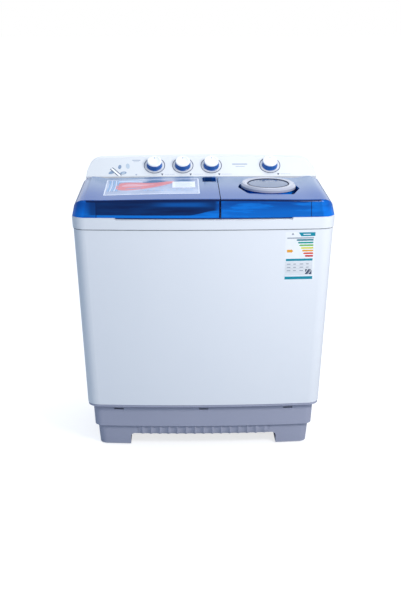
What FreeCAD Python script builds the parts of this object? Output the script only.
import FreeCAD, Part
import math
import os
import re
import Sketcher
from FreeCAD import Placement, Rotation, Vector

# Twin tub washer, millimetres. X runs to the right seen from the front, the front faces -Y, Z is up.
# The origin is on the floor, under the middle of the whole machine.

SIZES = {
    # whole machine
    "half_width": 447.5, "front_y": -262.5, "rear_y": 262.5, "front_bow": 18, "plan_corner": 48,
    "wall": 3, "lid_split_x": 56, "gap": 2.5,
    # base and feet
    "pad_height": 4, "skirt_z": 46, "step_z": 79, "flange_z": 160, "base_top_z": 168,
    "foot_half_width": 374, "foot_front_y": -212.7, "step_half_width": 380, "step_front_y": -219,
    "base_half_width": 395, "base_front_y": -232, "base_rear_y": 236, "foot_inner_x": 262,
    "arch_corner": 15, "flute_pitch": 33, "flute_radius": 13, "flute_depth": 4,
    # cabinet
    "cabinet_bottom_half_width": 413, "cabinet_bottom_front_y": -247.5, "cabinet_rear_y": 250,
    "cabinet_top_half_width": 443, "cabinet_top_front_y": -259, "seam_z": 806,
    # top frame
    "deck_z": 846, "deck_thickness": 4, "grip_half_width": 300, "grip_height": 8, "grip_depth": 6,
    # tubs
    "tub_left_x": -400, "tub_right_x": 24, "tub_front_y": -222, "tub_rear_y": 84, "tub_corner": 60,
    "tub_floor_z": 420, "tub_wall": 2.5, "wash_x": -188, "bowl_y": -69,
    "spin_x": 236, "spin_y": -64, "spin_tub_radius": 155, "spin_tub_floor_z": 425, "throat_radius": 115,
    # spin basket
    "basket_radius": 128, "basket_wall": 1.5, "basket_floor_z": 445, "basket_top_z": 800,
    "basket_hole": 4, "spin_shaft_radius": 7,
    # pulsator drive
    "pulsator_radius": 130, "pulsator_z": 426, "pulsator_shaft_radius": 8, "fin_height": 30,
    "gearbox_radius": 60, "gearbox_low_z": 330, "gearbox_top_z": 410, "belt_low_z": 262,
    "pulley_thickness": 18, "big_pulley_radius": 90, "small_pulley_radius": 25, "belt_thickness": 8,
    "wash_motor_x": -42, "wash_motor_y": 10, "wash_motor_radius": 62,
    # spin drive
    "motor_plate_z": 206, "motor_plate_thickness": 4, "motor_plate_radius": 108,
    "spin_motor_radius": 62, "spin_motor_top_z": 328, "drum_low_z": 336, "drum_height": 36, "drum_radius": 55,
    "spring_circle": 84, "spring_radius": 17, "spring_wire": 2.2, "post_top_z": 140,
    "lever_x": 308, "lever_y": -10, "lever_pin_radius": 5, "shoe_gap": 5.8,
    # lids
    "lid_low_z": 846.5, "lid_half_width": 446.5, "lid_front_y": -261.5, "hinge_y": 96, "hinge_z": 896,
    "lid_rear_top_z": 915, "lid_front_top_z": 894.4, "lid_crown": 12, "lid_rim": 9, "lid_shoulder": 38,
    "lid_wall": 3, "lid_rounding": 9, "hinge_pin_radius": 3, "pocket_floor_z": 886,
    "ring_y": -45, "ring_radius": 97, "ring_bore": 80, "ring_height": 12, "window_radius": 78.5,
    # control panel
    "panel_front_y": 130, "panel_rear_y": 258, "fascia_z": 922, "fascia_slope": 38.5, "panel_top_z": 985,
    "panel_half_width": 432, "fascia_half_width": 424, "panel_shoulder": 50, "knob_y": 172.5,
    # knobs
    "cap_radius": 30.5, "cap_height": 26, "skirt_radius": 29, "skirt_height": 21.5, "stem_radius": 3,
    "bezel_radius": 39.2, "bezel_bore": 37, "running_gap": 0.05, "seat_gap": 0.5,
    # services
    "inlet_radius": 10, "inlet_x": -300, "inlet_z": 925, "outlet_radius": 15, "outlet_x": 76, "outlet_z": 118,
    "valve_x": 28, "valve_y": 150, "valve_z": 330, "valve_radius": 27,
    "cord_x": -330, "cord_z": 200, "cord_radius": 4,
}

FOOT_X = 315
PANEL_SCREWS = (-380, -130, 130, 380)
WASH_EARS = (-412, 42)
SPIN_EARS = (70, 412)
TOP_HALF = 480
TOP_STATIONS = (0, 150, 260, 315, 355, 395, 430, TOP_HALF)
RIM_X = 395
RIM_SPREAD = 34
SIDE_LEAN = 0.21
KNOBS = {"wash_timer": -173, "mode": -68, "drain": 38, "spin_timer": 256}

doc = FreeCAD.newDocument("TwinTubWasher")
sheet = doc.addObject("Spreadsheet::Sheet", "Sizes")
for row, (alias, value) in enumerate(SIZES.items(), start=1):
    sheet.set(f"A{row}", alias)
    sheet.set(f"B{row}", str(value))
    sheet.setAlias(f"B{row}", alias)
doc.recompute()


# ---------------------------------------------------------------- helpers

def size(alias):
    """A driving dimension, read back from the sheet."""
    return float(getattr(sheet, alias))


def linked(expression):
    """The expression with every alias written as a reference to the sheet."""
    return re.sub(r"[a-z]+(_[a-z]+)*", lambda word: "Sizes." + word[0] if word[0] in SIZES else word[0],
                  str(expression))


def worth(expression):
    """What an expression comes to now."""
    return float(sheet.evalExpression(linked(expression)))


def bind(piece, prop, expression):
    piece.setExpression(prop, linked(expression))


def settle(piece, x, y, z):
    """Binds a piece's place to the sheet."""
    for letter, expression in zip("xyz", (x, y, z)):
        bind(piece, "Placement.Base." + letter, expression)


def named(piece, label):
    piece.Label = label
    return piece


def box(name, x, y, z):
    """A block between two expressions on each axis."""
    piece = doc.addObject("Part::Box", name)
    for prop, (low, high) in zip(("Length", "Width", "Height"), (x, y, z)):
        bind(piece, prop, f"({high}) - ({low})")
    settle(piece, x[0], y[0], z[0])
    return piece


def rod(name, radius, x, y, z, length, along="Z"):
    """A cylinder that starts at x, y, z and runs along one axis."""
    piece = doc.addObject("Part::Cylinder", name)
    bind(piece, "Radius", radius)
    bind(piece, "Height", length)
    turns = {"X": Rotation(Vector(0, 1, 0), 90), "Y": Rotation(Vector(1, 0, 0), -90), "Z": Rotation()}
    piece.Placement = Placement(Vector(), turns[along])
    settle(piece, x, y, z)
    return piece


def cut(name, base, *tools):
    piece = doc.addObject("Part::Cut", name)
    piece.Base = base
    piece.Tool = tools[0] if len(tools) == 1 else group(name + "_tools", *tools)
    return piece


def group(name, *pieces):
    """Several separate solids in one object."""
    piece = doc.addObject("Part::Compound", name)
    piece.Links = list(pieces)
    return piece


def fuse(name, *pieces):
    piece = doc.addObject("Part::MultiFuse", name)
    piece.Shapes = list(pieces)
    return piece


def shaped(name, shape):
    """A moulding whose outline is neither a sketch nor a primitive."""
    piece = doc.addObject("Part::Feature", name)
    piece.Shape = shape
    return piece


def body_sketch(body, name, plane_role, points):
    """A closed polygon on one of the body's origin planes, each corner bound to the sheet."""
    sketch = body.newObject("Sketcher::SketchObject", name)
    plane = next(feature for feature in body.Origin.OriginFeatures if feature.Role == plane_role)
    sketch.AttachmentSupport = [(plane, "")]
    sketch.MapMode = "FlatFace"
    corners = [Vector(worth(across), worth(up), 0) for across, up in points]
    count = len(corners)
    for index in range(count):
        sketch.addGeometry(Part.LineSegment(corners[index], corners[(index + 1) % count]))
    for index in range(count):
        sketch.addConstraint(Sketcher.Constraint("Coincident", index, 2, (index + 1) % count, 1))
    for index, (across, up) in enumerate(points):
        for kind, expression, axis in (("DistanceX", across, -2), ("DistanceY", up, -1)):
            value = worth(expression)
            if abs(value) < 1e-9:
                sketch.addConstraint(Sketcher.Constraint("PointOnObject", index, 1, axis))
            else:
                datum = sketch.addConstraint(Sketcher.Constraint(kind, -1, 1, index, 1, value))
                sketch.setExpression(f"Constraints[{datum}]", linked(expression))
    return sketch


def turned(name, points, x="0", y="0", z="0", place=None):
    """A turned piece about an upright axis, or about a given place's Z: points are (radius, height)."""
    body = doc.addObject("PartDesign::Body", name)
    sketch = body_sketch(body, name + "_profile", "XZ_Plane", points)
    turn = body.newObject("PartDesign::Revolution", name + "_turn")
    turn.Profile = sketch
    turn.ReferenceAxis = (sketch, ["V_Axis"])
    turn.Angle = 360
    if place is None:
        settle(body, x, y, z)
    else:
        body.Placement = place
    return body


def plate(name, points, thickness, z="0", place=None):
    """A flat piece padded upwards from an outline in plan, or along a given place's Z."""
    body = doc.addObject("PartDesign::Body", name)
    sketch = body_sketch(body, name + "_outline", "XY_Plane", points)
    pad = body.newObject("PartDesign::Pad", name + "_pad")
    pad.Profile = sketch
    bind(pad, "Length", thickness)
    if place is None:
        settle(body, "0", "0", z)
    else:
        body.Placement = place
    return body


def round_edges(body, name, radius, wanted):
    """Rounds the edges of a body's last feature that the test accepts."""
    doc.recompute()
    last = body.Tip
    edges = [f"Edge{number}" for number, edge in enumerate(last.Shape.Edges, start=1) if wanted(edge)]
    rounding = body.newObject("PartDesign::Fillet", name)
    rounding.Base = (last, edges)
    bind(rounding, "Radius", radius)
    return body


def runs_along(edge, axis):
    low = edge.valueAt(edge.FirstParameter)
    high = edge.valueAt(edge.LastParameter)
    return edge.Curve.TypeId == "Part::GeomLine" and abs((high - low).normalize().dot(axis)) > 0.999


def rectangle(x_low, x_high, y_low, y_high):
    return [(x_low, y_low), (x_high, y_low), (x_high, y_high), (x_low, y_high)]


def on_fascia(x, height=0.0):
    """The place on the sloping fascia at x, with local Z along the fascia's outward normal."""
    slope = math.radians(size("fascia_slope"))
    up_slope = (size("knob_y") - size("panel_front_y")) * math.tan(slope)
    seat = Vector(x, size("knob_y"), size("fascia_z") + up_slope)
    normal = Vector(0, -math.sin(slope), math.cos(slope))
    return Placement(seat + normal * height, Rotation(Vector(1, 0, 0), size("fascia_slope")))


# ---------------------------------------------------------------- bowed mouldings

def bowed_outline(half_width, front, rear, corner, z):
    """Plan outline with straight sides and back, a front bowed forward and four round corners."""
    bow = size("front_bow")
    bow_radius = (half_width ** 2 + bow ** 2) / (2 * bow)
    bow_centre = Vector(0, front + bow_radius, z)
    corner_x = half_width - corner
    reach = math.sqrt((bow_radius - corner) ** 2 - corner_x ** 2)
    front_corner = Vector(corner_x, bow_centre.y - reach, z)
    outward = (front_corner - bow_centre).normalize()
    touch = bow_centre + outward * bow_radius
    knee = front_corner + (outward + Vector(1, 0, 0)).normalize() * corner
    side_front = Vector(half_width, front_corner.y, z)
    side_rear = Vector(half_width, rear - corner, z)
    rear_knee = Vector(corner_x, rear - corner, z) + Vector(1, 1, 0).normalize() * corner
    back = Vector(corner_x, rear, z)

    def mirrored(point):
        return Vector(-point.x, point.y, point.z)

    edges = [Part.Arc(mirrored(touch), Vector(0, front, z), touch).toShape(),
             Part.Arc(touch, knee, side_front).toShape(),
             Part.makeLine(side_front, side_rear),
             Part.Arc(side_rear, rear_knee, back).toShape(),
             Part.makeLine(back, mirrored(back)),
             Part.Arc(mirrored(back), mirrored(rear_knee), mirrored(side_rear)).toShape(),
             Part.makeLine(mirrored(side_rear), mirrored(side_front)),
             Part.Arc(mirrored(side_front), mirrored(knee), mirrored(touch)).toShape()]
    return Part.Wire(edges)


def tapered(low, high):
    """A solid between two bowed outlines, each given as half width, front, rear, corner and z."""
    return Part.makeLoft([bowed_outline(*low), bowed_outline(*high)], True, True)


def block(x_low, x_high, y_low, y_high, z_low, z_high):
    return Part.makeBox(x_high - x_low, y_high - y_low, z_high - z_low, Vector(x_low, y_low, z_low))


def rounded_block(x_low, x_high, y_low, y_high, z_low, z_high, corner, axis):
    """A block whose four edges along one axis are rounded."""
    shape = block(x_low, x_high, y_low, y_high, z_low, z_high)
    return shape.makeFillet(corner, [edge for edge in shape.Edges if runs_along(edge, axis)])


def upright(radius, x, y, z_low, z_high):
    return Part.makeCylinder(radius, z_high - z_low, Vector(x, y, z_low))


def make_base():
    """Base tray with flange, skirts, flutes, slots and spring posts, and the four hollow feet under it."""
    pad, skirt, step = size("pad_height"), size("skirt_z"), size("step_z")
    flange, top = size("flange_z"), size("base_top_z")
    rear, corner = size("base_rear_y"), 30
    lower = tapered((size("foot_half_width"), size("foot_front_y"), rear - 8, corner, pad),
                    (size("step_half_width"), size("step_front_y"), rear - 4, corner, step))
    upper = tapered((size("base_half_width") - 5, size("base_front_y") + 5, rear - 3, corner, step),
                    (size("base_half_width"), size("base_front_y"), rear, corner, top))
    ledge_half = size("cabinet_bottom_half_width") - 2
    ledge = tapered((size("base_half_width") + 1, size("base_front_y") - 1, rear, corner, flange - 8),
                    (ledge_half, size("cabinet_bottom_front_y") + 2, rear + 10, corner + 10, flange))
    lip = tapered((ledge_half, size("cabinet_bottom_front_y") + 2, rear + 10, corner + 10, flange),
                  (ledge_half, size("cabinet_bottom_front_y") + 2, rear + 10, corner + 10, top))
    shape = lower.fuse([upper, ledge, lip])
    hollow = tapered((size("foot_half_width") - 4, size("foot_front_y") + 10, rear - 14, 24, skirt + 3),
                     (size("base_half_width") - 5, size("base_front_y") + 6, rear - 5, 26, top + 1))
    shape = shape.cut(hollow)
    inner = size("foot_inner_x")
    arch = rounded_block(-inner, inner, -400, 400, -60, skirt, size("arch_corner"), Vector(0, 1, 0))
    side_arch = rounded_block(-500, 500, -122, 140, -60, skirt, size("arch_corner"), Vector(1, 0, 0))
    shape = shape.cut([arch, side_arch])
    feet = [block(x - 34, x + 34, y_low, y_low + 44, pad + 4, skirt + 8)
            for x in (-FOOT_X, FOOT_X) for y_low in (-178, 160)]
    shape = shape.cut(feet)
    bow_radius = size("step_half_width") ** 2 / (2 * size("front_bow"))
    flutes = []
    for number in range(-7, 8):
        x = number * size("flute_pitch")
        front = size("step_front_y") + x ** 2 / (2 * bow_radius)
        y = front - size("flute_radius") + size("flute_depth")
        flutes.append(upright(size("flute_radius"), x, y, skirt - 6, step - 2))
    slots = [block(x - 17, x + 17, -300, -200, 144, 149) for x in (-302, 0, 302)]
    outlet = Part.makeCylinder(size("outlet_radius") - 1.5, 40, Vector(size("outlet_x"), rear - 20,
                               size("outlet_z")), Vector(0, 1, 0))
    shape = shape.cut(flutes + slots + [outlet])
    posts = [upright(20, place.x, place.y, skirt + 1, size("post_top_z")) for place in spring_places()]
    shape = shape.fuse(posts).removeSplitter()
    under_skirt = block(-500, 500, -300, 300, 0, skirt)
    return shape.cut(under_skirt), shape.common(under_skirt)


def spring_places():
    """Where the three springs under the spin motor stand."""
    places = []
    for number in range(3):
        angle = math.radians(90 + 120 * number)
        places.append(Vector(size("spin_x") + size("spring_circle") * math.cos(angle),
                             size("spin_y") + size("spring_circle") * math.sin(angle), 0))
    return places


def make_cabinet():
    """One tapered shell with an inward bottom lip, a service opening and a hole for the cord."""
    wall, rear, corner = size("wall"), size("cabinet_rear_y"), size("plan_corner") - 3
    low_z, high_z = size("base_top_z"), size("seam_z") - 0.5
    low_half, high_half = size("cabinet_bottom_half_width"), size("cabinet_top_half_width")
    low_front, high_front = size("cabinet_bottom_front_y"), size("cabinet_top_front_y")
    outer = tapered((low_half, low_front, rear, corner, low_z), (high_half, high_front, rear, corner, high_z))
    inner = tapered((low_half - wall, low_front + wall, rear - wall, corner - wall, low_z - 1),
                    (high_half - wall, high_front + wall, rear - wall, corner - wall, high_z + 1))
    lip = tapered((low_half - 1, low_front + 1, rear - 1, corner, low_z),
                  (low_half - 1, low_front + 1, rear - 1, corner, low_z + wall))
    lip_hole = tapered((low_half - 30, low_front + 30, rear - 30, 26, low_z - 1),
                       (low_half - 30, low_front + 30, rear - 30, 26, low_z + wall + 1))
    shape = outer.cut(inner).fuse(lip.cut(lip_hole))
    service = rounded_block(-205, 205, rear - 20, rear + 20, 290, 620, 12, Vector(0, 1, 0))
    cord = Part.makeCylinder(9, 60, Vector(size("cord_x"), rear - 30, size("cord_z")), Vector(0, 1, 0))
    return shape.cut([service, cord])


def make_top_frame():
    """Deck and band that close the cabinet: openings for both tubs, and a finger recess at the front."""
    wall, rear, corner = size("wall"), size("rear_y"), size("plan_corner")
    low_z, high_z = size("seam_z"), size("deck_z")
    half, front = size("half_width"), size("front_y")
    outer = tapered((half - 2, front + 1.5, rear, corner, low_z), (half, front, rear, corner, high_z))
    inner = tapered((half - 2 - wall, front + 1.5 + wall, rear - wall, corner - wall, low_z - 1),
                    (half - wall, front + wall, rear - wall, corner - wall, high_z - size("deck_thickness")))
    depth = size("grip_depth")
    inset = tapered((half - depth, front + depth, rear, corner, low_z), (half - depth, front + depth,
                    rear, corner, high_z))
    backing = tapered((half - depth - wall, front + depth + wall, rear, corner, low_z),
                      (half - depth - wall, front + depth + wall, rear, corner, high_z))
    grip_half, grip_z = size("grip_half_width"), high_z - size("grip_height")
    grip = outer.cut(inset).common(block(-grip_half, grip_half, -300, -200, grip_z, high_z + 1))
    grip_wall = outer.cut(backing).common(block(-grip_half - wall, grip_half + wall, -300, -200,
                                                grip_z - wall, high_z))
    shape = outer.cut(inner).fuse(grip_wall).cut(grip)
    wash_hole = rounded_block(size("tub_left_x"), size("tub_right_x"), size("tub_front_y"),
                              size("tub_rear_y"), 800, 900, size("tub_corner"), Vector(0, 0, 1))
    spin_hole = upright(size("throat_radius") + 3, size("spin_x"), size("spin_y"), 800, 900)
    return shape.cut([wash_hole, spin_hole])


# ---------------------------------------------------------------- lids

def crown_height(x, crown, rim):
    """Height of the lids' arched top over its edge, with a raised rim near each side."""
    arch = crown * (1 - (x / TOP_HALF) ** 2)
    return arch + rim * math.exp(-((abs(x) - RIM_X) / RIM_SPREAD) ** 2)


def top_curve(y, z, crown, rim):
    """The lids' top line in one section across the machine."""
    stations = [side * x for side, row in ((-1, TOP_STATIONS[::-1]), (1, TOP_STATIONS[1:])) for x in row]
    curve = Part.BSplineCurve()
    curve.interpolate([Vector(x, y, z + crown_height(x, crown, rim)) for x in stations])
    return curve.toShape()


def crowned_section(y, z_top, z_low, crown, rim):
    """A section across the lids: flat underneath and arched on top."""
    edge_z = z_top + crown_height(TOP_HALF, crown, rim)
    left, right = Vector(-TOP_HALF, y, edge_z), Vector(TOP_HALF, y, edge_z)
    low_left, low_right = Vector(-TOP_HALF, y, z_low), Vector(TOP_HALF, y, z_low)
    return Part.Wire([top_curve(y, z_top, crown, rim), Part.makeLine(right, low_right),
                      Part.makeLine(low_right, low_left), Part.makeLine(low_left, left)])


def shoulder_line(inset):
    """Centres of the side shoulder's rounding at the lids' front and at the hinge."""
    radius = size("lid_shoulder") - inset
    centres = []
    ends = ((-300, size("lid_front_top_z"), 0), (200, size("lid_rear_top_z"), size("lid_rim")))
    for y, side_z, rim in ends:
        z = side_z + crown_height(RIM_X, size("lid_crown"), rim) - inset - radius
        lean = SIDE_LEAN * (z - size("lid_low_z"))
        x = size("lid_half_width") - inset - lean - radius * math.hypot(1, SIDE_LEAN)
        centres.append(Vector(x, y, z))
    return centres, radius


def shoulder_waste(inset):
    """What the side shoulders' rounding takes off the lids' top corners."""
    (front, rear), radius = shoulder_line(inset)
    waste = []
    for side in (-1, 1):
        sections = []
        for centre in (front, rear):
            x, y, z = side * centre.x, centre.y, centre.z
            low_angle = math.atan(SIDE_LEAN)
            touch = Vector(x + side * radius * math.cos(low_angle), y, z + radius * math.sin(low_angle))
            middle = (low_angle + math.pi / 2) / 2
            knee = Vector(x + side * radius * math.cos(middle), y, z + radius * math.sin(middle))
            crest = Vector(x, y, z + radius)
            far_low, far_high = Vector(side * 520, y, touch.z), Vector(side * 520, y, 980)
            near_high = Vector(x, y, 980)
            sections.append(Part.Wire([
                Part.Arc(touch, knee, crest).toShape(), Part.makeLine(crest, near_high),
                Part.makeLine(near_high, far_high), Part.makeLine(far_high, far_low),
                Part.makeLine(far_low, touch)]))
        waste.append(Part.makeLoft(sections, True, True))
    return waste


def lid_solid(inset, rounding=0):
    """Both lids in one solid block, every outer face moved inwards by inset, its front top edge rounded."""
    low_z, half, front = size("lid_low_z"), size("lid_half_width") - inset, size("lid_front_y") + inset
    corner, crown, rim = size("plan_corner") - inset, size("lid_crown"), size("lid_rim")
    axis_y, axis_z = size("hinge_y"), size("hinge_z")
    walls = tapered((half, front, 300, corner, low_z - 1), (half - 22, front + 20, 300, corner - 8, 950))
    rear_z = size("lid_rear_top_z") - inset
    top = Part.makeLoft([crowned_section(-300, size("lid_front_top_z") - inset, 820, crown - 1, 0),
                         crowned_section(axis_y, rear_z, 820, crown, rim)], True, True)
    barrel = Part.Face(crowned_section(axis_y, rear_z, axis_z, crown, rim))
    barrel = barrel.revolve(Vector(0, axis_y, axis_z), Vector(1, 0, 0), -92)
    shape = top.fuse(barrel).removeSplitter().common(walls)
    if rounding:
        rims = []
        for edge in shape.Edges:
            middle = edge.valueAt((edge.FirstParameter + edge.LastParameter) / 2)
            outer = abs(middle.x) > 380 or middle.y < -200
            if outer and middle.z > 880 and middle.y < axis_y and edge.Length > 30:
                rims.append(edge)
        shape = shape.makeFillet(rounding, rims)
    shape = shape.cut(shoulder_waste(inset))
    return shape.common(block(-500, 500, -300, 200, low_z if inset == 0 else low_z - 2, 960))


def lid_top_z(x, y):
    """Height of the lids' top face, near enough for placing what sits in it."""
    share = (y + 300) / (size("hinge_y") + 300)
    side = size("lid_front_top_z") + share * (size("lid_rear_top_z") - size("lid_front_top_z"))
    return side + crown_height(x, size("lid_crown"), share * size("lid_rim"))


def shell_between(outer, inner, x_low, x_high, end_wall_low, end_wall_high):
    """One lid's thin shell, cut from the double block, with a wall at its own end of the split."""
    whole = outer.common(block(x_low, x_high, -300, 200, 800, 960))
    hollow = inner.common(block(x_low + end_wall_low, x_high - end_wall_high, -300, 200, 800, 960))
    return whole, hollow


def hinge_ears(pin_xs, outer):
    """Ears that carry the hinge pins, each let halfway into the lid's top."""
    ears = []
    axis_y, axis_z = size("hinge_y"), size("hinge_z")
    mould = outer.copy()
    mould.translate(Vector(0, 0, -size("lid_wall") / 2))
    for x in pin_xs:
        boss = Part.makeCylinder(8, 8, Vector(x - 4, axis_y, axis_z), Vector(1, 0, 0))
        web = block(x - 4, x + 4, axis_y - 8, axis_y + 8, axis_z, 960).common(mould)
        ears.append(boss.fuse(web))
    return ears


def pin_bores(pin_xs):
    return [Part.makeCylinder(size("hinge_pin_radius"), 40, Vector(x - 20, size("hinge_y"), size("hinge_z")),
                              Vector(1, 0, 0)) for x in pin_xs]


def make_wash_lid(outer, inner):
    """Left lid with a sloping finger scoop at its rear right corner."""
    edge_x = size("lid_split_x") - size("gap") / 2
    whole, hollow = shell_between(outer, inner, -500, edge_x, 0, size("lid_wall"))
    low_x, high_x, front, rear = 2, edge_x - 5, 6, 82
    top_z, floor_z = lid_top_z(30, front) + 0.5, lid_top_z(30, rear) - 15

    def scoop(grow):
        left, start, end = low_x - grow, front - grow * 3, rear + grow
        side = [Vector(left, start, top_z), Vector(left, end, floor_z - grow),
                Vector(left, end, 945), Vector(left, start, 945)]
        wedge = Part.Face(Part.makePolygon(side + side[:1])).extrude(Vector(high_x - low_x + 2 * grow, 0, 0))
        rear_arch = rounded_block(left, high_x + grow, start - 60, end, 800, 990, 11, Vector(0, 0, 1))
        return wedge.common(rear_arch)

    shape = whole.cut(hollow.cut(scoop(size("lid_wall"))))
    shape = shape.fuse(hinge_ears(WASH_EARS, outer)).cut(scoop(0))
    return shape.cut(pin_bores(WASH_EARS)).removeSplitter()


def finger_pocket(grow):
    """Plan shape of the recess under the spin lid's ring: a rounded trapezoid less the ring's column."""
    centre, middle = size("spin_x") - 4, size("ring_y")
    half_outline = [(78 + grow, -122 - grow), (108 + grow, -30), (100 + grow, 22 + grow)]
    right = [Vector(centre + across, middle + along, 0) for across, along in half_outline]
    left = [Vector(centre - across, middle + along, 0) for across, along in half_outline[::-1]]
    outline = right + left
    prism = Part.Face(Part.makePolygon(outline + outline[:1])).extrude(Vector(0, 0, 80))
    prism = prism.makeFillet(16, [edge for edge in prism.Edges if runs_along(edge, Vector(0, 0, 1))])
    prism.translate(Vector(0, 0, size("pocket_floor_z") - grow))
    column = upright(size("ring_bore") + 8 - grow, centre, middle, 800, 990)
    return prism.cut(column)


def make_spin_lid(outer, inner):
    """Right lid with a round window seat and a finger recess around the ring's front."""
    edge_x = size("lid_split_x") + size("gap") / 2
    whole, hollow = shell_between(outer, inner, edge_x, 500, size("lid_wall"), 0)
    shape = whole.cut(hollow.cut(finger_pocket(size("lid_wall"))))
    shape = shape.fuse(hinge_ears(SPIN_EARS, outer)).cut(finger_pocket(0))
    seat = ring_place()
    window_hole = Part.makeCylinder(size("window_radius") - 6, 60, Vector(0, 0, -30))
    window_seat = Part.makeCylinder(size("ring_radius"), 60, Vector(0, 0, -4))
    ring_column = Part.makeCylinder(size("ring_bore") + 8, 12, Vector(0, 0, -16))
    for tool in (window_hole, window_seat, ring_column):
        tool.Placement = seat
    return shape.fuse(ring_column).cut([window_seat, window_hole] + pin_bores(SPIN_EARS)).removeSplitter()


def ring_place():
    """The ring's seat on the lid, tilted with the lid's top face."""
    x, y = size("spin_x") - 4, size("ring_y")
    rise = math.atan2(size("lid_rear_top_z") - size("lid_front_top_z"), size("hinge_y") + 300)
    fall = math.atan2(lid_top_z(x - 90, y) - lid_top_z(x + 90, y), 180)
    turn = Rotation(Vector(0, 1, 0), math.degrees(fall))
    turn = turn.multiply(Rotation(Vector(1, 0, 0), math.degrees(rise)))
    return Placement(Vector(x, y, lid_top_z(x, y)), turn)




# ---------------------------------------------------------------- casing

def make_foot_pads():
    pads = []
    up, height = Vector(0, 0, 1), size("pad_height")
    for x in (-FOOT_X, FOOT_X):
        for y in (-157, 183):
            pads.append(rounded_block(x - 42, x + 42, y - 31, y + 31, 0, height, 8, up))
    return Part.makeCompound(pads)


def make_hinge_brackets():
    """Four arms that rise from the deck to the lids' hinge axis, each with a bore for its pin."""
    axis_y, axis_z, deck = size("hinge_y"), size("hinge_z"), size("deck_z")
    arms = []
    for x in (WASH_EARS[0] + 8.5, WASH_EARS[1] - 8.5, SPIN_EARS[0] + 8.5, SPIN_EARS[1] - 8.5):
        outline = [Vector(x - 4, axis_y - 34, deck), Vector(x - 4, axis_y - 9, deck),
                   Vector(x - 4, axis_y - 4, axis_z - 14), Vector(x - 4, axis_y + 5, axis_z - 5),
                   Vector(x - 4, axis_y - 7, axis_z + 4)]
        arm = Part.Face(Part.makePolygon(outline + outline[:1])).extrude(Vector(8, 0, 0))
        boss = Part.makeCylinder(8, 8, Vector(x - 4, axis_y, axis_z), Vector(1, 0, 0))
        bore = Part.makeCylinder(size("hinge_pin_radius") + size("running_gap"), 8,
                                 Vector(x - 4, axis_y, axis_z), Vector(1, 0, 0))
        arms.append(arm.fuse(boss).cut(bore))
    return Part.makeCompound(arms)


def make_hinge_pins(ears):
    """Two steel pins, each through one ear and the arm beside it."""
    starts = (ears[0] - 4, ears[1] - 20)
    return Part.makeCompound([Part.makeCylinder(size("hinge_pin_radius"), 24, Vector(x, size("hinge_y"),
                              size("hinge_z")), Vector(1, 0, 0)) for x in starts])


def panel_solid(inset, rear):
    """The control panel's block with every outer face moved inwards by inset."""
    slope = math.radians(size("fascia_slope"))
    front, low, top = size("panel_front_y") + inset, size("deck_z"), size("panel_top_z") - inset
    foot_z = size("fascia_z") + inset * math.tan(slope) - inset / math.cos(slope)
    brow_y = front + (top - foot_z) / math.tan(slope)
    side = [Vector(-500, front, low), Vector(-500, front, foot_z), Vector(-500, brow_y, top),
            Vector(-500, rear, top), Vector(-500, rear, low)]
    along = Part.Face(Part.makePolygon(side + side[:1])).extrude(Vector(1000, 0, 0))
    brow = [edge for edge in along.Edges if runs_along(edge, Vector(1, 0, 0))
            and abs(edge.CenterOfMass.y - brow_y) < 1 and edge.CenterOfMass.z > top - 1]
    along = along.makeFillet(26, brow)
    half, shoulder_half = size("panel_half_width") - inset, size("fascia_half_width") - inset
    corner, fall = size("panel_shoulder") - inset, 8
    right = [Vector(half, -400, low), Vector(shoulder_half, -400, top - fall - corner)]
    knee = Vector(shoulder_half - corner * 0.29, -400, top - fall - corner * 0.29)
    crest = Vector(shoulder_half - corner, -400, top - fall * 0.75)

    def mirrored(point):
        return Vector(-point.x, point.y, point.z)

    front_view = Part.Wire([
        Part.makeLine(right[0], right[1]),
        Part.Arc(right[1], knee, crest).toShape(),
        Part.Arc(crest, Vector(0, -400, top), mirrored(crest)).toShape(),
        Part.Arc(mirrored(crest), mirrored(knee), mirrored(right[1])).toShape(),
        Part.makeLine(mirrored(right[1]), mirrored(right[0])),
        Part.makeLine(mirrored(right[0]), right[0])])
    return along.common(Part.Face(front_view).extrude(Vector(0, 900, 0)))


def make_panel_housing():
    """Sloping control panel: a thin shell open behind, with a hole for each knob's stem."""
    shape = panel_solid(0, size("panel_rear_y")).cut(panel_solid(size("wall"), size("panel_rear_y") + 5))
    holes = []
    for x in KNOBS.values():
        hole = Part.makeCylinder(5, 20, Vector(0, 0, -10))
        hole.Placement = on_fascia(x)
        holes.append(hole)
    deck = size("deck_z")
    floor = panel_solid(0, 236).common(block(-500, 500, 100, 236, deck, deck + size("wall")))
    return shape.fuse(floor).cut(holes).removeSplitter()


def make_panel_rear_cover():
    inner = panel_solid(size("wall") + 0.2, 270).common(block(-500, 500, 238, 241, 800, 1000))
    inlet = Part.makeCylinder(size("inlet_radius") + 0.5, 40, Vector(size("inlet_x"), 225, size("inlet_z")),
                              Vector(0, 1, 0))
    slots = [block(x - 20, x + 20, 230, 250, z, z + 5) for x in (150, 210, 270) for z in (900, 915, 930)]
    screws = [Part.makeCylinder(2.1, 10, Vector(x, 235, 880), Vector(0, 1, 0)) for x in PANEL_SCREWS]
    return inner.cut([inlet] + slots + screws)


def cover_screw(x, y, z):
    """A pan head screw that faces backwards, with its shank in the cover's hole."""
    head = Part.makeCylinder(5, 3, Vector(x, y, z), Vector(0, 1, 0))
    shank = Part.makeCylinder(2, 2, Vector(x, y - 2, z), Vector(0, 1, 0))
    return head.fuse(shank)


def make_cover_screws():
    low = [cover_screw(x, size("cabinet_rear_y") + 2, z) for x in (-214, 0, 214) for z in (281, 629)]
    high = [cover_screw(x, 241, 880) for x in PANEL_SCREWS]
    return Part.makeCompound(low + high)


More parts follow.
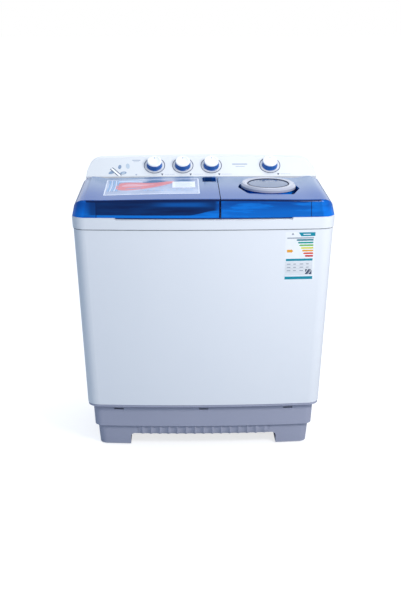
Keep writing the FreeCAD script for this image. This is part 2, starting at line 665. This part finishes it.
tray_shape, feet_shape = make_base()
base = named(shaped("Base", tray_shape), "base")
base_feet = named(shaped("BaseFeet", feet_shape), "base_feet")
foot_pads = named(shaped("FootPads", make_foot_pads()), "foot_pads")
cabinet = named(shaped("Cabinet", make_cabinet()), "cabinet")
top_frame = named(shaped("TopFrame", make_top_frame()), "top_frame")
hinge_brackets = named(shaped("HingeBrackets", make_hinge_brackets()), "hinge_brackets")
panel_housing = named(shaped("PanelHousing", make_panel_housing()), "panel_housing")
panel_rear_cover = named(shaped("PanelRearCover", make_panel_rear_cover()), "panel_rear_cover")
cover_screws = named(shaped("CoverScrews", make_cover_screws()), "cover_screws")

cover_sheet = box("CoverSheet", ("-225", "225"), ("cabinet_rear_y", "cabinet_rear_y + 2"), ("270", "640"))
louvres = [box(f"Louvre{number}", ("-70", "70"), ("cabinet_rear_y - 5", "cabinet_rear_y + 5"),
               (f"{340 + 22 * number}", f"{347 + 22 * number}")) for number in range(8)]
screw_holes = [rod(f"CoverHole{number}", "2.1", x, "cabinet_rear_y - 5", z, "20", "Y")
               for number, (x, z) in enumerate([(x, z) for x in (-214, 0, 214) for z in (281, 629)])]
back_cover = named(cut("BackCover", cover_sheet, *louvres, *screw_holes), "back_cover")


# ---------------------------------------------------------------- tubs

def make_wash_tub():
    """Deep square tub with a flange under the deck, and a dished seat for the pulsator."""
    wall, low = size("tub_wall"), size("tub_floor_z")
    top = size("deck_z") - size("deck_thickness")
    left, right = size("tub_left_x"), size("tub_right_x")
    front, rear = size("tub_front_y"), size("tub_rear_y")
    corner, up = size("tub_corner"), Vector(0, 0, 1)
    outer = rounded_block(left - wall, right + wall, front - wall, rear + wall, low - wall, top,
                          corner + wall, up)
    inner = rounded_block(left, right, front, rear, low, top + 1, corner, up)
    flange = rounded_block(left - 12, right + 5, front - 12, rear + 12, top - 4, top, corner + 12, up)
    hub = upright(30, size("wash_x"), size("bowl_y"), low - wall, low)
    shape = outer.fuse([flange, hub]).cut(inner)
    ribs = [upright(7, left + 105 + 70 * number, rear + 4, low + 60, top - 60) for number in range(4)]
    drain = upright(16, 0, 62, low - 10, low + 5)
    shaft = upright(size("pulsator_shaft_radius") + size("running_gap"), size("wash_x"), size("bowl_y"),
                    low - 10, low + 10)
    return shape.fuse([rib.common(outer) for rib in ribs]).cut([drain, shaft]).removeSplitter()


def perforated(basket, rows, columns):
    """The basket's wall drilled all round."""
    drills = []
    rise = (size("basket_top_z") - size("basket_floor_z") - 90) / (rows - 1)
    for row in range(rows):
        for column in range(columns):
            angle = 2 * math.pi * (column + 0.5 * (row % 2)) / columns
            direction = Vector(math.cos(angle), math.sin(angle), 0)
            start = Vector(size("spin_x"), size("spin_y"), size("basket_floor_z") + 50 + rise * row)
            drills.append(Part.makeCylinder(size("basket_hole"), 20, start + direction * 118, direction))
    return basket.cut(Part.makeCompound(drills))


def make_spin_basket():
    """Perforated drum with a rolled rim, a dished floor and a hub that grips the shaft."""
    x, y, low, high = size("spin_x"), size("spin_y"), size("basket_floor_z"), size("basket_top_z")
    radius, wall = size("basket_radius"), size("basket_wall")
    drum = upright(radius, x, y, low, high).cut(upright(radius - wall, x, y, low + wall, high + 1))
    rim = Part.makeTorus(radius - 4, 4, Vector(x, y, high))
    rim = rim.cut(upright(radius - 8, x, y, low, high + 10))
    hub = Part.makeCone(30, 20, 34, Vector(x, y, low))
    bore = upright(size("spin_shaft_radius"), x, y, low - 5, low + 26)
    return perforated(drum.fuse([rim, hub]).cut(bore), 6, 18).removeSplitter()


wash_tub = named(shaped("WashTub", make_wash_tub()), "wash_tub")
spin_basket = named(shaped("SpinBasket", make_spin_basket()), "spin_basket")

tub_top = "deck_z - deck_thickness"
spin_outer_tub = named(turned("SpinOuterTub", [
    ("spin_shaft_radius + 13", "spin_tub_floor_z - tub_wall"),
    ("spin_tub_radius + tub_wall", "spin_tub_floor_z - tub_wall"),
    ("spin_tub_radius + tub_wall", f"{tub_top} - 4"),
    ("spin_tub_radius + 7", f"{tub_top} - 4"),
    ("spin_tub_radius + 7", tub_top),
    ("spin_tub_radius", tub_top),
    ("spin_tub_radius", "spin_tub_floor_z"),
    ("spin_shaft_radius + 13", "spin_tub_floor_z"),
], "spin_x", "spin_y"), "spin_outer_tub")

spin_tub_collar = named(turned("SpinTubCollar", [
    ("throat_radius", "deck_z - 14"), ("throat_radius + 2.5", "deck_z - 14"),
    ("throat_radius + 2.5", "deck_z"), ("throat_radius + 18", "deck_z"),
    ("throat_radius + 15", "deck_z + 4"), ("throat_radius", "deck_z + 4"),
], "spin_x", "spin_y"), "spin_tub_collar")

filter_frame = box("FilterFrame", ("-270", "-180"), ("tub_rear_y - 22", "tub_rear_y - 3.5"), ("610", "760"))
filter_pouch = box("FilterPouch", ("-264", "-186"), ("tub_rear_y - 18", "tub_rear_y - 7"), ("616", "770"))
lint_filter = named(cut("LintFilter", filter_frame, filter_pouch), "lint_filter")

column_outline = rectangle("tub_right_x - 26", "tub_right_x", "-62", "18")
drain_column_cover = named(plate("DrainColumnCover", column_outline, "365", z="tub_floor_z"),
                           "drain_column_cover")
round_edges(drain_column_cover, "ColumnRounding", "10",
            lambda edge: runs_along(edge, Vector(0, 0, 1)) and edge.CenterOfMass.x < 10)

press_disc = rod("PressDisc", "basket_radius - 16", "spin_x", "spin_y", "basket_floor_z + 34", "4")
press_holes = []
for number in range(8):
    across = round(70 * math.cos(number * math.pi / 4), 3)
    along = round(70 * math.sin(number * math.pi / 4), 3)
    press_holes.append(rod(f"PressHole{number}", "9", f"spin_x + {across}", f"spin_y + {along}",
                           "basket_floor_z + 30", "20"))
press_plate = cut("PressPlate", press_disc, *press_holes)
named(press_plate, "spin_press_plate")


# ---------------------------------------------------------------- wash drive

def make_pulsator():
    """Dished disc with four curved fins and a raised hub over its shaft."""
    x, y, low, radius = size("wash_x"), size("bowl_y"), size("pulsator_z"), size("pulsator_radius")
    outline = [Vector(across, 0, up) for across, up in (
        (0, 0), (radius - 8, 0), (radius, 6), (radius - 6, 12), (42, 18), (24, 34), (0, 38))]
    disc = Part.Face(Part.makePolygon(outline + outline[:1])).revolve(Vector(), Vector(0, 0, 1), 360)
    fins = []
    for number in range(4):
        ring = Part.makeTorus(70, 9, Vector(70, 0, 12)).common(block(16, 116, 0, 90, 0, size("fin_height")))
        ring.rotate(Vector(), Vector(0, 0, 1), 90 * number)
        fins.append(ring)
    inside = upright(radius - 3, 0, 0, 0, 60)
    shape = disc.fuse([fin.common(inside) for fin in fins])
    shape = shape.cut(upright(size("pulsator_shaft_radius"), 0, 0, -1, 22))
    shape.translate(Vector(x, y, low))
    return shape.removeSplitter()


def make_belt():
    """V-belt round both pulleys, a hair clear of their grooves."""
    slack, thickness = 0.4, size("belt_thickness")
    big = Vector(size("wash_x"), size("bowl_y"), 0)
    small = Vector(size("wash_motor_x"), size("wash_motor_y"), 0)
    z_low = size("belt_low_z") + 5
    height = size("pulley_thickness") - 10

    def loop(big_radius, small_radius):
        run = small - big
        span, direction = run.Length, (small - big).normalize()
        across = Vector(-direction.y, direction.x, 0)
        lean = (big_radius - small_radius) / span
        grip = math.sqrt(1 - lean ** 2)
        left, right = direction * lean + across * grip, direction * lean - across * grip
        big_left, big_right = big + left * big_radius, big + right * big_radius
        small_left, small_right = small + left * small_radius, small + right * small_radius
        small_end, big_end = small + direction * small_radius, big - direction * big_radius
        wire = Part.Wire([Part.makeLine(big_left, small_left),
                          Part.Arc(small_left, small_end, small_right).toShape(),
                          Part.makeLine(small_right, big_right),
                          Part.Arc(big_right, big_end, big_left).toShape()])
        return Part.Face(wire).extrude(Vector(0, 0, height))

    groove_big = size("big_pulley_radius") - thickness + slack
    groove_small = size("small_pulley_radius") - thickness + slack
    belt = loop(groove_big + thickness, groove_small + thickness).cut(loop(groove_big, groove_small))
    belt.translate(Vector(0, 0, z_low))
    return belt


def pulley(name, radius, bore, x, y, web):
    """A grooved pulley; web is the height of its hub above the rim."""
    low, high = "belt_low_z", "belt_low_z + pulley_thickness"
    return turned(name, [
        (bore, low), (radius, low), (radius, f"{low} + 4.5"),
        (f"{radius} - belt_thickness", f"{low} + 4.5"), (f"{radius} - belt_thickness", f"{high} - 4.5"),
        (radius, f"{high} - 4.5"), (radius, high), (bore, f"{high} + {web}")], x, y)


pulsator = named(shaped("Pulsator", make_pulsator()), "pulsator")
drive_belt = named(shaped("DriveBelt", make_belt()), "drive_belt")
pulsator_shaft = named(rod("PulsatorShaft", "pulsator_shaft_radius", "wash_x", "bowl_y", "gearbox_top_z - 40",
                           "pulsator_z + 22 - gearbox_top_z + 40"), "pulsator_shaft")

gearbox_drum = rod("GearboxDrum", "gearbox_radius", "wash_x", "bowl_y", "gearbox_low_z",
                   "gearbox_top_z - gearbox_low_z - 12")
gearbox_neck = rod("GearboxNeck", "28", "wash_x", "bowl_y", "gearbox_low_z", "gearbox_top_z - gearbox_low_z")
gearbox_case = fuse("GearboxCase", gearbox_drum, gearbox_neck)
gearbox_bore = rod("GearboxBore", "pulsator_shaft_radius + running_gap", "wash_x", "bowl_y",
                   "gearbox_top_z - 40.5", "60")
input_bore = rod("InputBore", "6 + running_gap", "wash_x", "bowl_y", "gearbox_low_z - 5", "20")
wash_gearbox = named(cut("WashGearbox", gearbox_case, gearbox_bore, input_bore), "wash_gearbox")

big_wheel = pulley("BigWheel", "big_pulley_radius", "6", "wash_x", "bowl_y", "6")
input_shaft = rod("InputShaft", "6", "wash_x", "bowl_y", "belt_low_z", "gearbox_low_z - belt_low_z + 14")
gearbox_pulley = named(fuse("GearboxPulley", big_wheel, input_shaft), "gearbox_pulley")

small_wheel = pulley("SmallWheel", "small_pulley_radius", "6", "wash_motor_x", "wash_motor_y", "1")
motor_spindle = rod("MotorSpindle", "6", "wash_motor_x", "wash_motor_y", "belt_low_z", "44")
motor_pulley = named(fuse("MotorPulley", small_wheel, motor_spindle), "motor_pulley")

plate_low = "gearbox_top_z - 12"
drive_sheet = box("DriveSheet", ("wash_x - 160", "wash_motor_x + 80"), ("bowl_y - 110", "bowl_y + 150"),
                  (plate_low, f"{plate_low} + 4"))
neck_hole = rod("NeckHole", "28", "wash_x", "bowl_y", f"{plate_low} - 5", "20")
leg_places = [(x, y) for x in ("wash_x - 145", "wash_x + 145") for y in ("bowl_y - 95", "bowl_y + 120")]
leg_height = "tub_floor_z - tub_wall - gearbox_top_z + 8"
plate_legs = [rod(f"PlateLeg{number}", "8", x, y, f"{plate_low} + 4", leg_height)
              for number, (x, y) in enumerate(leg_places)]
wash_drive_plate = named(fuse("WashDrivePlate", cut("DriveSheetHoled", drive_sheet, neck_hole), *plate_legs),
                         "wash_drive_plate")

motor_can = rod("MotorCan", "wash_motor_radius", "wash_motor_x", "wash_motor_y", "292",
                f"{plate_low} - 292")
motor_can_bore = rod("MotorCanBore", "6 + running_gap", "wash_motor_x", "wash_motor_y", "280", "30")
wash_motor = named(cut("WashMotor", motor_can, motor_can_bore), "wash_motor")


# ---------------------------------------------------------------- spin drive

def make_springs():
    """Three open coil springs that carry the spin motor."""
    coils = []
    pitch, height = 11, size("motor_plate_z") - size("post_top_z") - size("spring_wire") * 2
    for place in spring_places():
        helix = Part.makeHelix(pitch, height, size("spring_radius"))
        start = Vector(size("spring_radius"), 0, 0)
        wire = Part.Wire(Part.makeCircle(size("spring_wire"), start, Vector(0, 1, 0)))
        coil = Part.Wire(helix).makePipeShell([wire], True, True)
        coil.translate(Vector(place.x, place.y, size("post_top_z") + size("spring_wire")))
        coils.append(coil)
    return Part.makeCompound(coils)


spin_motor_springs = named(shaped("SpinMotorSprings", make_springs()), "spin_motor_springs")

motor_disc = rod("MotorDisc", "motor_plate_radius", "spin_x", "spin_y", "motor_plate_z",
                 "motor_plate_thickness")
lever_post = rod("LeverPost", "lever_pin_radius", "lever_x", "lever_y", "motor_plate_z",
                 "drum_low_z - motor_plate_z + 24")
lever_seat = rod("LeverSeat", "9", "lever_x", "lever_y", "motor_plate_z", "drum_low_z - motor_plate_z + 11.5")
spin_motor_plate = named(fuse("SpinMotorPlate", motor_disc, lever_post, lever_seat), "spin_motor_plate")

spin_motor = named(turned("SpinMotor", [
    ("spin_shaft_radius + running_gap", "motor_plate_z + motor_plate_thickness + 4"),
    ("spin_motor_radius - 14", "motor_plate_z + motor_plate_thickness"),
    ("spin_motor_radius - 6", "motor_plate_z + motor_plate_thickness"),
    ("spin_motor_radius", "motor_plate_z + 24"), ("spin_motor_radius", "spin_motor_top_z - 20"),
    ("spin_motor_radius - 10", "spin_motor_top_z"), ("spin_shaft_radius + running_gap", "spin_motor_top_z")],
    "spin_x", "spin_y"), "spin_motor")

spin_shaft = named(rod("SpinShaft", "spin_shaft_radius", "spin_x", "spin_y", "motor_plate_z + 14",
                       "basket_floor_z + 26 - motor_plate_z - 14"), "spin_shaft")

brake_drum = named(turned("BrakeDrum", [
    ("spin_shaft_radius", "drum_low_z"), ("drum_radius", "drum_low_z"),
    ("drum_radius", "drum_low_z + drum_height"), ("drum_radius - 6", "drum_low_z + drum_height"),
    ("drum_radius - 6", "drum_low_z + 8"), ("spin_shaft_radius + 10", "drum_low_z + 8"),
    ("spin_shaft_radius + 10", "drum_low_z + drum_height + 6"),
    ("spin_shaft_radius", "drum_low_z + drum_height + 6")], "spin_x", "spin_y"), "brake_drum")

spin_bellows = named(turned("SpinBellows", [
    ("spin_shaft_radius + 0.5", "spin_tub_floor_z - 34"), ("spin_shaft_radius + 6", "spin_tub_floor_z - 34"),
    ("spin_shaft_radius + 6", "spin_tub_floor_z - 26"), ("spin_shaft_radius + 22", "spin_tub_floor_z - 22"),
    ("spin_shaft_radius + 12", "spin_tub_floor_z - 16"), ("spin_shaft_radius + 28", "spin_tub_floor_z - 10"),
    ("spin_shaft_radius + 28", "spin_tub_floor_z - tub_wall"),
    ("spin_shaft_radius + 13", "spin_tub_floor_z - tub_wall"), ("spin_shaft_radius + 13", "spin_tub_floor_z"),
    ("spin_shaft_radius + 9", "spin_tub_floor_z"), ("spin_shaft_radius + 9", "spin_tub_floor_z - 14"),
    ("spin_shaft_radius + 0.5", "spin_tub_floor_z - 24")], "spin_x", "spin_y"), "spin_bellows")


def make_brake_lever():
    """Flat lever on its post, with a curved shoe that stands off the drum."""
    low = size("drum_low_z") + 12
    pivot = Vector(size("lever_x"), size("lever_y"), 0)
    bar = block(pivot.x - 7, pivot.x + 7, size("spin_y") - 30, pivot.y, low, low + 8)
    tail = block(pivot.x - 5, pivot.x + 5, pivot.y, pivot.y + 60, low, low + 8)
    eye = upright(11, pivot.x, pivot.y, low, low + 8)
    reach = size("drum_radius") + size("shoe_gap")
    shoe = upright(reach + 8, size("spin_x"), size("spin_y"), low - 8, low + 16)
    shoe = shoe.cut(upright(reach, size("spin_x"), size("spin_y"), low - 9, low + 17))
    spin_x, spin_y = size("spin_x"), size("spin_y")
    shoe = shoe.common(block(spin_x + 20, pivot.x + 4, spin_y - 20, spin_y + 20, 0, 900))
    web = block(size("spin_x") + reach + 2, pivot.x, size("spin_y") - 12, size("spin_y") + 12, low, low + 8)
    bore = upright(size("lever_pin_radius") + size("running_gap"), pivot.x, pivot.y, low - 1, low + 9)
    return bar.fuse([tail, eye, shoe, web]).cut(bore).removeSplitter()


brake_lever = named(shaped("BrakeLever", make_brake_lever()), "brake_lever")


# ---------------------------------------------------------------- lids with what they carry

lids_outer = lid_solid(0, size("lid_rounding"))
lids_inner = lid_solid(size("lid_wall"))
wash_lid = named(shaped("WashLid", make_wash_lid(lids_outer, lids_inner)), "wash_lid")
spin_lid = named(shaped("SpinLid", make_spin_lid(lids_outer, lids_inner)), "spin_lid")
wash_lid_hinge_pins = named(shaped("WashLidPins", make_hinge_pins(WASH_EARS)), "wash_lid_hinge_pins")
spin_lid_hinge_pins = named(shaped("SpinLidPins", make_hinge_pins(SPIN_EARS)), "spin_lid_hinge_pins")


def make_wash_lid_label():
    """A thin film laid on the curved top of the wash lid."""
    raised = lids_outer.copy()
    raised.translate(Vector(0, 0, 0.4))
    film = raised.cut(lids_outer)
    return film.common(rounded_block(-342, -12, -170, 62, 880, 960, 6, Vector(0, 0, 1)))


wash_lid_label = named(shaped("WashLidLabel", make_wash_lid_label()), "wash_lid_label")

spin_lid_ring = turned("SpinLidRing", [
    ("ring_bore", "-3.8"), ("ring_radius - 0.2", "-3.8"), ("ring_radius - 0.2", "ring_height * 0.3"),
    ("ring_radius - 5", "ring_height * 0.85"), ("ring_radius - 9", "ring_height"),
    ("ring_bore + 2", "ring_height * 0.75"), ("ring_bore", "ring_height * 0.5")], place=ring_place())
named(spin_lid_ring, "spin_lid_ring")

spin_lid_window = named(turned("SpinLidWindow", [
    ("0", "-4"), ("window_radius", "-4"), ("window_radius", "-1"), ("window_radius - 4", "1.5"),
    ("window_radius - 10", "3"), ("0", "5")], place=ring_place()), "spin_lid_window")


# ---------------------------------------------------------------- knobs and what they turn

CAP_PROFILE = [("0", "-18"), ("stem_radius", "-18"), ("stem_radius", "skirt_height + 0.01"),
               ("cap_radius", "skirt_height + 0.01"), ("cap_radius", "skirt_height + 2"),
               ("cap_radius - 3", "cap_height - 0.6"), ("cap_radius - 7", "cap_height"), ("0", "cap_height")]
SKIRT_PROFILE = [("stem_radius", "seat_gap"), ("skirt_radius", "seat_gap"),
                 ("skirt_radius", "seat_gap + 2.5"), ("skirt_radius - 1", "skirt_height"),
                 ("stem_radius", "skirt_height")]
KNOB_NAMES = {"wash_timer": "wash_timer_knob", "mode": "mode_knob", "drain": "drain_knob",
              "spin_timer": "spin_timer_knob"}
SWITCH_NAMES = {"wash_timer": "wash_timer", "mode": "mode_switch", "drain": "drain_selector",
                "spin_timer": "spin_timer"}

for knob, knob_x in KNOBS.items():
    title = knob.title().replace("_", "")
    named(turned(title + "Cap", CAP_PROFILE, place=on_fascia(knob_x)), KNOB_NAMES[knob])
    named(turned(title + "Skirt", SKIRT_PROFILE, place=on_fascia(knob_x)), KNOB_NAMES[knob] + "_skirt")
    case_body = plate(title + "Case", rectangle("-24", "24", "-20", "20"), "20", place=on_fascia(knob_x, -24))
    stem_hole = doc.addObject("Part::Cylinder", title + "StemHole")
    bind(stem_hole, "Radius", "stem_radius + running_gap")
    bind(stem_hole, "Height", "20")
    stem_hole.Placement = on_fascia(knob_x, -18.5)
    named(cut(title + "Switch", case_body, stem_hole), SWITCH_NAMES[knob])

bezels = [turned(knob.title().replace("_", "") + "Bezel", [
    ("bezel_bore", "0"), ("bezel_radius", "0"), ("bezel_radius", "0.7"), ("bezel_radius - 0.7", "1.3"),
    ("bezel_bore", "0.9")], place=on_fascia(knob_x)) for knob, knob_x in KNOBS.items()]
knob_bezels = named(group("KnobBezels", *bezels), "knob_bezels")


# ---------------------------------------------------------------- services

outlet_inner = rod("OutletInner", "outlet_radius - 2", "outlet_x", "valve_y", "outlet_z",
                   "rear_y - valve_y - 12", "Y")
outlet_spigot = rod("OutletSpigot", "outlet_radius", "outlet_x", "rear_y - 24", "outlet_z", "24", "Y")
outlet_bore = rod("OutletBore", "outlet_radius - 4", "outlet_x", "valve_y + 16", "outlet_z", "200", "Y")
outlet_riser = rod("OutletRiser", "outlet_radius - 2", "outlet_x", "valve_y", "outlet_z - 13",
                   "valve_z - outlet_z + 40")
outlet_link = rod("OutletLink", "outlet_radius - 4", "valve_x + valve_radius + 0.2", "valve_y",
                  "valve_z + 14", "outlet_x - valve_x - valve_radius - 0.2", "X")
outlet_pipe = fuse("OutletPipe", outlet_inner, outlet_spigot, outlet_riser, outlet_link)
drain_outlet = named(cut("DrainOutlet", outlet_pipe, outlet_bore), "drain_outlet")

valve_cup = rod("ValveCup", "valve_radius", "valve_x", "valve_y", "valve_z", "74")
valve_hollow = rod("ValveHollow", "valve_radius - 3", "valve_x", "valve_y", "valve_z + 3", "90")
valve_lid = rod("ValveLid", "valve_radius", "valve_x", "valve_y", "valve_z + 74", "4")
valve_guide = rod("ValveGuide", "4 + running_gap", "valve_x", "valve_y", "valve_z + 60", "40")
valve_shell = fuse("ValveShell", cut("ValveCupHollow", valve_cup, valve_hollow), valve_lid)
drain_valve_body = named(cut("DrainValveBody", valve_shell, valve_guide), "drain_valve_body")

plunger_stem = rod("PlungerStem", "4", "valve_x", "valve_y", "valve_z + 20", "92")
plunger_seal = rod("PlungerSeal", "valve_radius - 6", "valve_x", "valve_y", "valve_z + 4", "16")
drain_plunger = named(fuse("DrainPlunger", plunger_stem, plunger_seal), "drain_plunger")


def bent_pipe(points, radius):
    """A pipe along straight runs joined by ball corners."""
    runs = []
    for start, end in zip(points, points[1:]):
        runs.append(Part.makeCylinder(radius, (end - start).Length, start, end - start))
        runs.append(Part.makeSphere(radius, end))
    return runs[0].fuse(runs[1:-1]).removeSplitter()


def make_spin_drain_hose():
    """Inner hose from the spin tub's floor to the drain valve."""
    z = size("valve_z") + 40
    return bent_pipe([Vector(size("spin_x") - 60, size("spin_y") + 110, size("spin_tub_floor_z") - 2.5),
                      Vector(size("spin_x") - 60, size("spin_y") + 110, z),
                      Vector(size("valve_x") + 80, size("valve_y"), z),
                      Vector(size("valve_x") + size("valve_radius"), size("valve_y"), z)], 11)


spin_drain_hose = named(shaped("SpinDrainHose", make_spin_drain_hose()), "spin_drain_hose")

inlet_tube = rod("InletTube", "inlet_radius", "inlet_x", "rear_y - 24.5", "inlet_z", "24.5", "Y")
inlet_flange = rod("InletFlange", "inlet_radius + 6", "inlet_x", "rear_y - 21.5", "inlet_z", "2", "Y")
inlet_tail = rod("InletTail", "inlet_radius - 2", "inlet_x", "rear_y - 60", "inlet_z", "40", "Y")
inlet_bore = rod("InletBore", "inlet_radius - 3", "inlet_x", "rear_y - 70", "inlet_z", "90", "Y")
water_inlet = named(cut("WaterInlet", fuse("InletBody", inlet_tube, inlet_flange, inlet_tail), inlet_bore),
                    "water_inlet")

grommet_neck = rod("GrommetNeck", "8.9", "cord_x", "cabinet_rear_y - 6", "cord_z", "9", "Y")
grommet_rim = rod("GrommetRim", "13", "cord_x", "cabinet_rear_y", "cord_z", "3", "Y")
grommet_bore = rod("GrommetBore", "cord_radius", "cord_x", "cabinet_rear_y - 10", "cord_z", "30", "Y")
cord_grommet = named(cut("CordGrommet", fuse("GrommetBody", grommet_neck, grommet_rim), grommet_bore),
                     "cord_grommet")


# ---------------------------------------------------------------- printed films

def make_energy_label():
    """A thin film that follows the tapered, bowed cabinet front."""
    half_low, half_high = size("cabinet_bottom_half_width"), size("cabinet_top_half_width")
    front_low, front_high = size("cabinet_bottom_front_y"), size("cabinet_top_front_y")
    rear, corner, film = size("cabinet_rear_y"), size("plan_corner") - 3, 0.4
    low_z, high_z = size("base_top_z"), size("seam_z") - 0.5
    skin = tapered((half_low, front_low, rear, corner, low_z), (half_high, front_high, rear, corner, high_z))
    raised = skin.copy()
    raised.translate(Vector(0, -film, 0))
    window = block(276, 378, -300, -150, 625, 794)
    return raised.common(window).cut(skin)


def make_panel_decal():
    """A thin printed film at the left of the fascia."""
    film = block(-372, -232, 0, 300, 850, 1000)
    raised = panel_solid(-0.3, 255)
    sheet_part = raised.cut(panel_solid(0, 256)).common(film)
    return sheet_part.common(block(-400, 0, size("panel_front_y") + 8, 196, 850, 978))


energy_label = named(shaped("EnergyLabel", make_energy_label()), "energy_label")
panel_decal = named(shaped("PanelDecal", make_panel_decal()), "panel_decal")


# ---------------------------------------------------------------- check and export

NODES = [
    "base", "base_feet", "foot_pads", "cabinet", "back_cover", "cover_screws", "top_frame", "hinge_brackets",
    "panel_housing", "panel_rear_cover", "knob_bezels", "panel_decal", "energy_label",
    "wash_tub", "lint_filter", "drain_column_cover", "spin_outer_tub", "spin_tub_collar",
    "wash_drive_plate", "wash_gearbox", "wash_motor", "drive_belt", "spin_motor_plate", "spin_motor",
    "spin_motor_springs", "spin_bellows", "drain_valve_body", "drain_outlet", "spin_drain_hose",
    "water_inlet", "cord_grommet",
    "wash_timer", "mode_switch", "drain_selector", "spin_timer",
    "wash_lid", "wash_lid_hinge_pins", "wash_lid_label",
    "spin_lid", "spin_lid_hinge_pins", "spin_lid_window", "spin_lid_ring",
    "wash_timer_knob", "wash_timer_knob_skirt", "mode_knob", "mode_knob_skirt",
    "drain_knob", "drain_knob_skirt", "spin_timer_knob", "spin_timer_knob_skirt",
    "pulsator", "pulsator_shaft", "gearbox_pulley", "motor_pulley",
    "spin_basket", "spin_shaft", "brake_drum", "spin_press_plate", "brake_lever", "drain_plunger"]

doc.recompute()
failed = [piece.Name for piece in doc.Objects if "Invalid" in piece.State or "Error" in piece.State]
if failed:
    raise RuntimeError("failed objects: " + ", ".join(failed))
by_label = {piece.Label: piece for piece in doc.Objects}
for node in NODES:
    shape = by_label[node].Shape
    if shape.isNull() or not shape.isValid() or shape.Volume <= 0:
        raise RuntimeError("bad shape: " + node)

os.makedirs("parts", exist_ok=True)
for node in NODES:
    by_label[node].Shape.exportStep(f"parts/{node}.step")
print(len(NODES), "nodes written")
